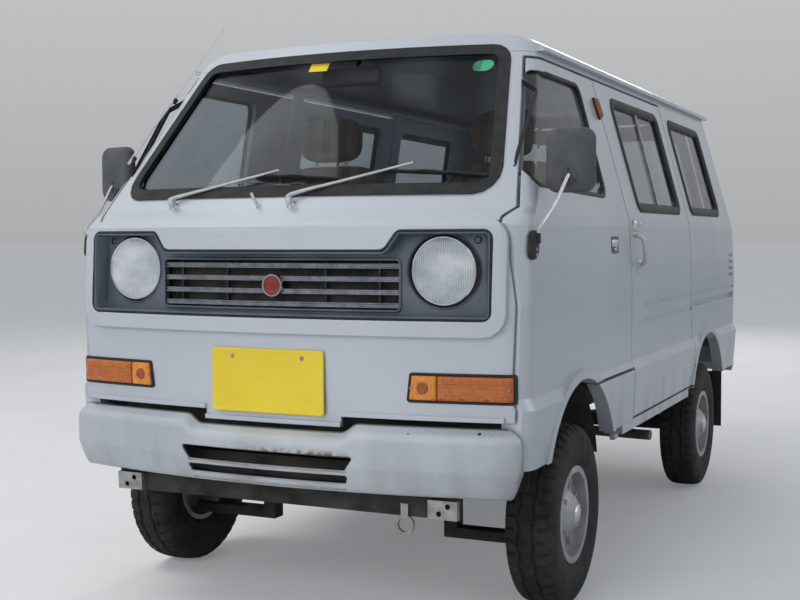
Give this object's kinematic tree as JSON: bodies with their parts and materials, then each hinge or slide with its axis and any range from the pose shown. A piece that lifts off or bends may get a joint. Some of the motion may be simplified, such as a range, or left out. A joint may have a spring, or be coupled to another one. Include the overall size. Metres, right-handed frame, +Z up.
{
  "type": "kei van",
  "caption": "Small cab-over van with hinged front doors, fixed sliding side doors, a lifting tailgate, steering front wheels and a live rear axle.",
  "frame": {"origin": "on the ground under the middle of the van: halfway between the front and rear bumpers' outer faces and between the two sides", "axes": "-Y forward, +Y rearward along the van, +X to the vehicle's left, +Z up"},
  "size_m": [1.588, 3.1949, 1.6449],
  "materials": {
    "paint": "silver metallic body paint, light and slightly blue",
    "bumper_paint": "silver paint, dulled and dented",
    "grille_plastic": "dark silver-grey moulding",
    "grille_bright": "silver bars",
    "black_steel": "black underbody paint",
    "cast": "cast iron, dull",
    "glass": "lightly tinted safety glass",
    "lamp_glass": "fluted clear lamp glass",
    "amber": "amber lens",
    "red_lens": "red lens",
    "gasket": "black rubber",
    "tyre": "black tyre rubber",
    "wheel_paint": "silver wheel paint",
    "black_plastic": "black moulding",
    "mirror": "dark grey mirror housing",
    "seat_cloth": "brown woven cloth",
    "floor_paint": "painted floor",
    "zinc": "zinc-plated steel"
  },
  "bodies": {
    "body": {"apron": "black_steel", "bulkhead": "floor_paint", "chassis_frame": "black_steel", "dashboard": "black_plastic", "engine": "cast", "exhaust": "zinc", "floor_pan": "floor_paint", "front_bumper": "bumper_paint", "front_panel": "paint", "front_seats": "seat_cloth", "front_signals": "amber", "front_suspension": "black_steel", "fuel_tank": "black_steel", "grille_bars": "grille_bright", "grille_panel": "grille_plastic", "headlamps": "lamp_glass", "leaf_springs": "black_steel", "mud_flaps": "gasket", "propshaft": "black_steel", "rear_axle": "black_steel", "rear_bumper": "bumper_paint", "rear_seat": "seat_cloth", "rear_valance": "paint", "roof": "paint", "side_glass": "glass", "side_left": "paint", "side_right": "paint", "sliding_door_left": "paint", "sliding_door_right": "paint", "steering_column": "black_plastic", "tail_lamps": "red_lens", "tow_brackets": "zinc", "windscreen": "glass", "windscreen_gasket": "gasket"},
    "front_door_left": {"front_door_left": "paint", "door_glass_left": "glass", "mirror_left": "mirror"},
    "front_door_right": {"front_door_right": "paint", "door_glass_right": "glass", "mirror_right": "mirror"},
    "tailgate": {"tailgate": "paint", "tailgate_glass": "glass"},
    "knuckle_left": {"knuckle_left": "cast"},
    "knuckle_right": {"knuckle_right": "cast"},
    "wheel_front_left": {"tyre_front_left": "tyre", "rim_front_left": "wheel_paint"},
    "wheel_front_right": {"tyre_front_right": "tyre", "rim_front_right": "wheel_paint"},
    "wheel_rear_left": {"tyre_rear_left": "tyre", "rim_rear_left": "wheel_paint"},
    "wheel_rear_right": {"tyre_rear_right": "tyre", "rim_rear_right": "wheel_paint"},
    "steering_wheel": {"steering_wheel": "black_plastic"}
  },
  "joints": [
    {"name": "front_door_left_hinge", "type": "hinge", "parent": "body", "child": "front_door_left", "pos_m": [0.69, -1.4775, 0.8], "axis": [0, 0, -1], "range_deg": [0, 65]},
    {"name": "front_door_right_hinge", "type": "hinge", "parent": "body", "child": "front_door_right", "pos_m": [-0.69, -1.4775, 0.8], "axis": [0, 0, 1], "range_deg": [0, 65]},
    {"name": "tailgate_hinge", "type": "hinge", "parent": "body", "child": "tailgate", "pos_m": [0, 1.3795, 1.541], "axis": [1, 0, 0], "range_deg": [0, 85]},
    {"name": "steer_left", "type": "hinge", "parent": "body", "child": "knuckle_left", "pos_m": [0.56, -1.0255, 0.172], "axis": [-0.1479, 0, 0.989], "range_deg": [-32, 32]},
    {"name": "steer_right", "type": "hinge", "parent": "body", "child": "knuckle_right", "pos_m": [-0.56, -1.0255, 0.172], "axis": [0.1479, 0, 0.989], "range_deg": [-32, 32]},
    {"name": "steering_wheel_turn", "type": "hinge", "parent": "body", "child": "steering_wheel", "pos_m": [-0.33, -1.0975, 1.045], "axis": [0, 0.6157, 0.788], "range_deg": [-520, 520]},
    {"name": "wheel_front_left_spin", "type": "hinge", "parent": "knuckle_left", "child": "wheel_front_left", "pos_m": [0.612, -1.0255, 0.2535], "axis": [1, 0, 0], "continuous": true},
    {"name": "wheel_front_right_spin", "type": "hinge", "parent": "knuckle_right", "child": "wheel_front_right", "pos_m": [-0.612, -1.0255, 0.2535], "axis": [1, 0, 0], "continuous": true},
    {"name": "wheel_rear_left_spin", "type": "hinge", "parent": "body", "child": "wheel_rear_left", "pos_m": [0.612, 0.7945, 0.2535], "axis": [1, 0, 0], "continuous": true},
    {"name": "wheel_rear_right_spin", "type": "hinge", "parent": "body", "child": "wheel_rear_right", "pos_m": [-0.612, 0.7945, 0.2535], "axis": [1, 0, 0], "continuous": true}
  ],
  "couplings": [
    {"joint": "steer_right", "follows": "steer_left", "ratio": 1},
    {"joint": "steering_wheel_turn", "follows": "steer_left", "ratio": 16}
  ]
}
